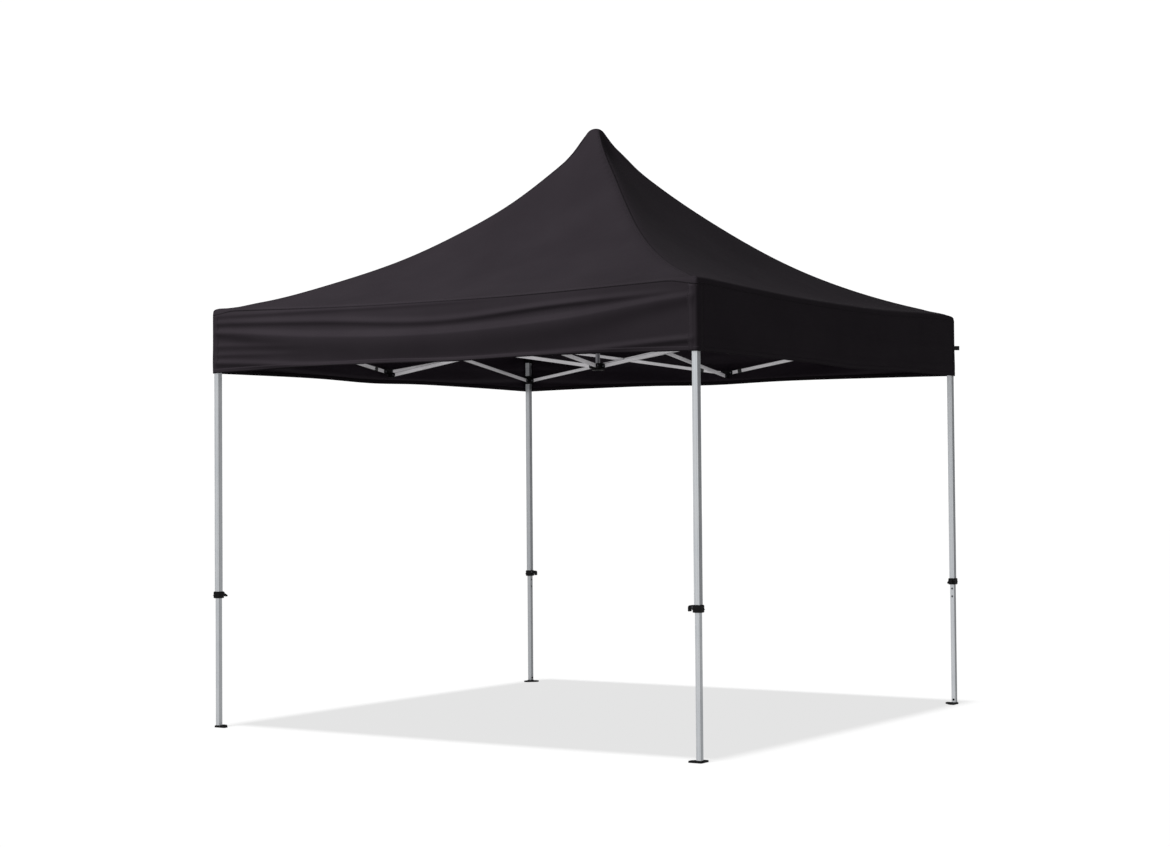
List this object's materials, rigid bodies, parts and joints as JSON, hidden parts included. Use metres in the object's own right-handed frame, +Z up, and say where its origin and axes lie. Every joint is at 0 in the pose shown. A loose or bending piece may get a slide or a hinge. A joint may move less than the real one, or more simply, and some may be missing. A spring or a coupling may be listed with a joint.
{
  "type": "folding gazebo",
  "caption": "Square pop-up gazebo: a fabric roof with hanging valances on a scissor frame with a centre mast and telescopic square legs on foot plates.",
  "frame": {"origin": "on the ground, under the middle of the roof", "axes": "+Z up, the sides run along X and Y, the front faces -Y"},
  "size_m": [2.968, 2.968, 3.233],
  "materials": {
    "leg_tubes": "satin anodised",
    "scissor_bars": "satin",
    "mast_tube": "dark grey satin",
    "black_plastic": "moulded, lightly textured",
    "cover_fabric": "coated woven polyester"
  },
  "bodies": {
    "upper_hub": {"upper_hub": "black_plastic"},
    "front_centre_bar_falling": {"front_centre_bar_falling": "scissor_bars"},
    "front_centre_bar_rising": {"front_centre_bar_rising": "scissor_bars"},
    "front_upper_connector": {"front_upper_connector": "black_plastic"},
    "front_lower_connector": {"front_lower_connector": "black_plastic"},
    "lower_hub": {"lower_hub": "black_plastic", "mast": "mast_tube"},
    "front_bar_1_rising": {"front_bar_1_rising": "scissor_bars"},
    "front_bar_1_falling": {"front_bar_1_falling": "scissor_bars"},
    "leg_front_left": {"upper_leg_front_left": "leg_tubes", "top_bracket_front_left": "black_plastic", "clip_front_left": "black_plastic"},
    "slider_front_left": {"slider_front_left": "black_plastic"},
    "lower_leg_front_left": {"lower_leg_front_left": "leg_tubes"},
    "front_bar_2_rising": {"front_bar_2_rising": "scissor_bars"},
    "front_bar_2_falling": {"front_bar_2_falling": "scissor_bars"},
    "right_centre_bar_falling": {"right_centre_bar_falling": "scissor_bars"},
    "right_centre_bar_rising": {"right_centre_bar_rising": "scissor_bars"},
    "right_upper_connector": {"right_upper_connector": "black_plastic"},
    "right_lower_connector": {"right_lower_connector": "black_plastic"},
    "right_bar_1_rising": {"right_bar_1_rising": "scissor_bars"},
    "right_bar_1_falling": {"right_bar_1_falling": "scissor_bars"},
    "leg_front_right": {"upper_leg_front_right": "leg_tubes", "top_bracket_front_right": "black_plastic", "clip_front_right": "black_plastic"},
    "slider_front_right": {"slider_front_right": "black_plastic"},
    "lower_leg_front_right": {"lower_leg_front_right": "leg_tubes"},
    "right_bar_2_rising": {"right_bar_2_rising": "scissor_bars"},
    "right_bar_2_falling": {"right_bar_2_falling": "scissor_bars"},
    "back_centre_bar_falling": {"back_centre_bar_falling": "scissor_bars"},
    "back_centre_bar_rising": {"back_centre_bar_rising": "scissor_bars"},
    "back_upper_connector": {"back_upper_connector": "black_plastic"},
    "back_lower_connector": {"back_lower_connector": "black_plastic"},
    "back_bar_1_rising": {"back_bar_1_rising": "scissor_bars"},
    "back_bar_1_falling": {"back_bar_1_falling": "scissor_bars"},
    "leg_back_right": {"upper_leg_back_right": "leg_tubes", "top_bracket_back_right": "black_plastic", "clip_back_right": "black_plastic"},
    "slider_back_right": {"slider_back_right": "black_plastic"},
    "lower_leg_back_right": {"lower_leg_back_right": "leg_tubes"},
    "back_bar_2_rising": {"back_bar_2_rising": "scissor_bars"},
    "back_bar_2_falling": {"back_bar_2_falling": "scissor_bars"},
    "left_centre_bar_falling": {"left_centre_bar_falling": "scissor_bars"},
    "left_centre_bar_rising": {"left_centre_bar_rising": "scissor_bars"},
    "left_upper_connector": {"left_upper_connector": "black_plastic"},
    "left_lower_connector": {"left_lower_connector": "black_plastic"},
    "left_bar_1_rising": {"left_bar_1_rising": "scissor_bars"},
    "left_bar_1_falling": {"left_bar_1_falling": "scissor_bars"},
    "leg_back_left": {"upper_leg_back_left": "leg_tubes", "top_bracket_back_left": "black_plastic", "clip_back_left": "black_plastic"},
    "slider_back_left": {"slider_back_left": "black_plastic"},
    "lower_leg_back_left": {"lower_leg_back_left": "leg_tubes"},
    "left_bar_2_rising": {"left_bar_2_rising": "scissor_bars"},
    "left_bar_2_falling": {"left_bar_2_falling": "scissor_bars"},
    "cover": {"roof": "cover_fabric", "front_valance": "cover_fabric", "right_valance": "cover_fabric", "back_valance": "cover_fabric", "left_valance": "cover_fabric"}
  },
  "joints": [
    {"name": "fold", "type": "hinge", "parent": "upper_hub", "child": "front_centre_bar_falling", "pos_m": [-0.009, -0.035, 2.135], "axis": [1, 0, 0], "range_deg": [0, 78]},
    {"name": "front_centre_crossing", "type": "hinge", "parent": "front_centre_bar_falling", "child": "front_centre_bar_rising", "pos_m": [0, -0.73, 2.0275], "axis": [-1, 0, 0], "range_deg": [0, 156]},
    {"name": "front_lower_connector_pivot", "type": "hinge", "parent": "front_centre_bar_falling", "child": "front_lower_connector", "pos_m": [-0.009, -1.425, 1.92], "axis": [-1, 0, 0], "range_deg": [0, 78]},
    {"name": "front_upper_connector_pivot", "type": "hinge", "parent": "front_centre_bar_rising", "child": "front_upper_connector", "pos_m": [0.009, -1.425, 2.135], "axis": [1, 0, 0], "range_deg": [0, 78]},
    {"name": "lower_hub_pivot", "type": "hinge", "parent": "front_centre_bar_rising", "child": "lower_hub", "pos_m": [0.009, -0.035, 1.92], "axis": [1, 0, 0], "range_deg": [0, 78]},
    {"name": "front_bar_1_pivot", "type": "hinge", "parent": "front_lower_connector", "child": "front_bar_1_rising", "pos_m": [-0.03, -1.469, 1.94], "axis": [0, 1, 0], "range_deg": [0, 78]},
    {"name": "front_bar_1_crossing", "type": "hinge", "parent": "front_bar_1_rising", "child": "front_bar_1_falling", "pos_m": [-0.725, -1.46, 2.0475], "axis": [0, -1, 0], "range_deg": [0, 156]},
    {"name": "leg_front_left_pivot", "type": "hinge", "parent": "front_bar_1_rising", "child": "leg_front_left", "pos_m": [-1.42, -1.469, 2.155], "axis": [0, -1, 0], "range_deg": [0, 78]},
    {"name": "slider_front_left_pivot", "type": "hinge", "parent": "front_bar_1_falling", "child": "slider_front_left", "pos_m": [-1.42, -1.451, 1.94], "axis": [0, 1, 0], "range_deg": [0, 78]},
    {"name": "leg_extension_front_left", "type": "slide", "parent": "leg_front_left", "child": "lower_leg_front_left", "axis": [0, 0, 1], "range_m": [0, 0.6]},
    {"name": "front_bar_2_pivot", "type": "hinge", "parent": "front_lower_connector", "child": "front_bar_2_rising", "pos_m": [0.03, -1.469, 1.94], "axis": [0, -1, 0], "range_deg": [0, 78]},
    {"name": "front_bar_2_crossing", "type": "hinge", "parent": "front_bar_2_rising", "child": "front_bar_2_falling", "pos_m": [0.725, -1.46, 2.0475], "axis": [0, 1, 0], "range_deg": [0, 156]},
    {"name": "right_hub_upper_pivot", "type": "hinge", "parent": "upper_hub", "child": "right_centre_bar_falling", "pos_m": [0.035, -0.009, 2.135], "axis": [0, 1, 0], "range_deg": [0, 78]},
    {"name": "right_centre_crossing", "type": "hinge", "parent": "right_centre_bar_falling", "child": "right_centre_bar_rising", "pos_m": [0.73, 0, 2.0275], "axis": [0, -1, 0], "range_deg": [0, 156]},
    {"name": "right_lower_connector_pivot", "type": "hinge", "parent": "right_centre_bar_falling", "child": "right_lower_connector", "pos_m": [1.425, -0.009, 1.92], "axis": [0, -1, 0], "range_deg": [0, 78]},
    {"name": "right_upper_connector_pivot", "type": "hinge", "parent": "right_centre_bar_rising", "child": "right_upper_connector", "pos_m": [1.425, 0.009, 2.135], "axis": [0, 1, 0], "range_deg": [0, 78]},
    {"name": "right_bar_1_pivot", "type": "hinge", "parent": "right_lower_connector", "child": "right_bar_1_rising", "pos_m": [1.469, -0.03, 1.94], "axis": [-1, 0, 0], "range_deg": [0, 78]},
    {"name": "right_bar_1_crossing", "type": "hinge", "parent": "right_bar_1_rising", "child": "right_bar_1_falling", "pos_m": [1.46, -0.725, 2.0475], "axis": [1, 0, 0], "range_deg": [0, 156]},
    {"name": "leg_front_right_pivot", "type": "hinge", "parent": "right_bar_1_rising", "child": "leg_front_right", "pos_m": [1.469, -1.42, 2.155], "axis": [1, 0, 0], "range_deg": [0, 78]},
    {"name": "slider_front_right_pivot", "type": "hinge", "parent": "right_bar_1_falling", "child": "slider_front_right", "pos_m": [1.451, -1.42, 1.94], "axis": [-1, 0, 0], "range_deg": [0, 78]},
    {"name": "leg_extension_front_right", "type": "slide", "parent": "leg_front_right", "child": "lower_leg_front_right", "axis": [0, 0, 1], "range_m": [0, 0.6]},
    {"name": "right_bar_2_pivot", "type": "hinge", "parent": "right_lower_connector", "child": "right_bar_2_rising", "pos_m": [1.469, 0.03, 1.94], "axis": [1, 0, 0], "range_deg": [0, 78]},
    {"name": "right_bar_2_crossing", "type": "hinge", "parent": "right_bar_2_rising", "child": "right_bar_2_falling", "pos_m": [1.46, 0.725, 2.0475], "axis": [-1, 0, 0], "range_deg": [0, 156]},
    {"name": "back_hub_upper_pivot", "type": "hinge", "parent": "upper_hub", "child": "back_centre_bar_falling", "pos_m": [0.009, 0.035, 2.135], "axis": [-1, 0, 0], "range_deg": [0, 78]},
    {"name": "back_centre_crossing", "type": "hinge", "parent": "back_centre_bar_falling", "child": "back_centre_bar_rising", "pos_m": [0, 0.73, 2.0275], "axis": [1, 0, 0], "range_deg": [0, 156]},
    {"name": "back_lower_connector_pivot", "type": "hinge", "parent": "back_centre_bar_falling", "child": "back_lower_connector", "pos_m": [0.009, 1.425, 1.92], "axis": [1, 0, 0], "range_deg": [0, 78]},
    {"name": "back_upper_connector_pivot", "type": "hinge", "parent": "back_centre_bar_rising", "child": "back_upper_connector", "pos_m": [-0.009, 1.425, 2.135], "axis": [-1, 0, 0], "range_deg": [0, 78]},
    {"name": "back_bar_1_pivot", "type": "hinge", "parent": "back_lower_connector", "child": "back_bar_1_rising", "pos_m": [0.03, 1.469, 1.94], "axis": [0, -1, 0], "range_deg": [0, 78]},
    {"name": "back_bar_1_crossing", "type": "hinge", "parent": "back_bar_1_rising", "child": "back_bar_1_falling", "pos_m": [0.725, 1.46, 2.0475], "axis": [0, 1, 0], "range_deg": [0, 156]},
    {"name": "leg_back_right_pivot", "type": "hinge", "parent": "back_bar_1_rising", "child": "leg_back_right", "pos_m": [1.42, 1.469, 2.155], "axis": [0, 1, 0], "range_deg": [0, 78]},
    {"name": "slider_back_right_pivot", "type": "hinge", "parent": "back_bar_1_falling", "child": "slider_back_right", "pos_m": [1.42, 1.451, 1.94], "axis": [0, -1, 0], "range_deg": [0, 78]},
    {"name": "leg_extension_back_right", "type": "slide", "parent": "leg_back_right", "child": "lower_leg_back_right", "axis": [0, 0, 1], "range_m": [0, 0.6]},
    {"name": "back_bar_2_pivot", "type": "hinge", "parent": "back_lower_connector", "child": "back_bar_2_rising", "pos_m": [-0.03, 1.469, 1.94], "axis": [0, 1, 0], "range_deg": [0, 78]},
    {"name": "back_bar_2_crossing", "type": "hinge", "parent": "back_bar_2_rising", "child": "back_bar_2_falling", "pos_m": [-0.725, 1.46, 2.0475], "axis": [0, -1, 0], "range_deg": [0, 156]},
    {"name": "left_hub_upper_pivot", "type": "hinge", "parent": "upper_hub", "child": "left_centre_bar_falling", "pos_m": [-0.035, 0.009, 2.135], "axis": [0, -1, 0], "range_deg": [0, 78]},
    {"name": "left_centre_crossing", "type": "hinge", "parent": "left_centre_bar_falling", "child": "left_centre_bar_rising", "pos_m": [-0.73, 0, 2.0275], "axis": [0, 1, 0], "range_deg": [0, 156]},
    {"name": "left_lower_connector_pivot", "type": "hinge", "parent": "left_centre_bar_falling", "child": "left_lower_connector", "pos_m": [-1.425, 0.009, 1.92], "axis": [0, 1, 0], "range_deg": [0, 78]},
    {"name": "left_upper_connector_pivot", "type": "hinge", "parent": "left_centre_bar_rising", "child": "left_upper_connector", "pos_m": [-1.425, -0.009, 2.135], "axis": [0, -1, 0], "range_deg": [0, 78]},
    {"name": "left_bar_1_pivot", "type": "hinge", "parent": "left_lower_connector", "child": "left_bar_1_rising", "pos_m": [-1.469, 0.03, 1.94], "axis": [1, 0, 0], "range_deg": [0, 78]},
    {"name": "left_bar_1_crossing", "type": "hinge", "parent": "left_bar_1_rising", "child": "left_bar_1_falling", "pos_m": [-1.46, 0.725, 2.0475], "axis": [-1, 0, 0], "range_deg": [0, 156]},
    {"name": "leg_back_left_pivot", "type": "hinge", "parent": "left_bar_1_rising", "child": "leg_back_left", "pos_m": [-1.469, 1.42, 2.155], "axis": [-1, 0, 0], "range_deg": [0, 78]},
    {"name": "slider_back_left_pivot", "type": "hinge", "parent": "left_bar_1_falling", "child": "slider_back_left", "pos_m": [-1.451, 1.42, 1.94], "axis": [1, 0, 0], "range_deg": [0, 78]},
    {"name": "leg_extension_back_left", "type": "slide", "parent": "leg_back_left", "child": "lower_leg_back_left", "axis": [0, 0, 1], "range_m": [0, 0.6]},
    {"name": "left_bar_2_pivot", "type": "hinge", "parent": "left_lower_connector", "child": "left_bar_2_rising", "pos_m": [-1.469, -0.03, 1.94], "axis": [-1, 0, 0], "range_deg": [0, 78]},
    {"name": "left_bar_2_crossing", "type": "hinge", "parent": "left_bar_2_rising", "child": "left_bar_2_falling", "pos_m": [-1.46, -0.725, 2.0475], "axis": [1, 0, 0], "range_deg": [0, 156]},
    {"name": "cover_lift", "type": "slide", "parent": "upper_hub", "child": "cover", "axis": [0, 0, 1], "range_m": [0, 1.4]}
  ],
  "couplings": [
    {"joint": "front_centre_crossing", "follows": "fold", "ratio": 2},
    {"joint": "front_lower_connector_pivot", "follows": "fold", "ratio": 1},
    {"joint": "front_upper_connector_pivot", "follows": "fold", "ratio": 1},
    {"joint": "lower_hub_pivot", "follows": "fold", "ratio": 1},
    {"joint": "front_bar_1_pivot", "follows": "fold", "ratio": 1},
    {"joint": "front_bar_1_crossing", "follows": "fold", "ratio": 2},
    {"joint": "leg_front_left_pivot", "follows": "fold", "ratio": 1},
    {"joint": "slider_front_left_pivot", "follows": "fold", "ratio": 1},
    {"joint": "front_bar_2_pivot", "follows": "fold", "ratio": 1},
    {"joint": "front_bar_2_crossing", "follows": "fold", "ratio": 2},
    {"joint": "right_hub_upper_pivot", "follows": "fold", "ratio": 1},
    {"joint": "right_centre_crossing", "follows": "fold", "ratio": 2},
    {"joint": "right_lower_connector_pivot", "follows": "fold", "ratio": 1},
    {"joint": "right_upper_connector_pivot", "follows": "fold", "ratio": 1},
    {"joint": "right_bar_1_pivot", "follows": "fold", "ratio": 1},
    {"joint": "right_bar_1_crossing", "follows": "fold", "ratio": 2},
    {"joint": "leg_front_right_pivot", "follows": "fold", "ratio": 1},
    {"joint": "slider_front_right_pivot", "follows": "fold", "ratio": 1},
    {"joint": "right_bar_2_pivot", "follows": "fold", "ratio": 1},
    {"joint": "right_bar_2_crossing", "follows": "fold", "ratio": 2},
    {"joint": "back_hub_upper_pivot", "follows": "fold", "ratio": 1},
    {"joint": "back_centre_crossing", "follows": "fold", "ratio": 2},
    {"joint": "back_lower_connector_pivot", "follows": "fold", "ratio": 1},
    {"joint": "back_upper_connector_pivot", "follows": "fold", "ratio": 1},
    {"joint": "back_bar_1_pivot", "follows": "fold", "ratio": 1},
    {"joint": "back_bar_1_crossing", "follows": "fold", "ratio": 2},
    {"joint": "leg_back_right_pivot", "follows": "fold", "ratio": 1},
    {"joint": "slider_back_right_pivot", "follows": "fold", "ratio": 1},
    {"joint": "back_bar_2_pivot", "follows": "fold", "ratio": 1},
    {"joint": "back_bar_2_crossing", "follows": "fold", "ratio": 2},
    {"joint": "left_hub_upper_pivot", "follows": "fold", "ratio": 1},
    {"joint": "left_centre_crossing", "follows": "fold", "ratio": 2},
    {"joint": "left_lower_connector_pivot", "follows": "fold", "ratio": 1},
    {"joint": "left_upper_connector_pivot", "follows": "fold", "ratio": 1},
    {"joint": "left_bar_1_pivot", "follows": "fold", "ratio": 1},
    {"joint": "left_bar_1_crossing", "follows": "fold", "ratio": 2},
    {"joint": "leg_back_left_pivot", "follows": "fold", "ratio": 1},
    {"joint": "slider_back_left_pivot", "follows": "fold", "ratio": 1},
    {"joint": "left_bar_2_pivot", "follows": "fold", "ratio": 1},
    {"joint": "left_bar_2_crossing", "follows": "fold", "ratio": 2}
  ]
}
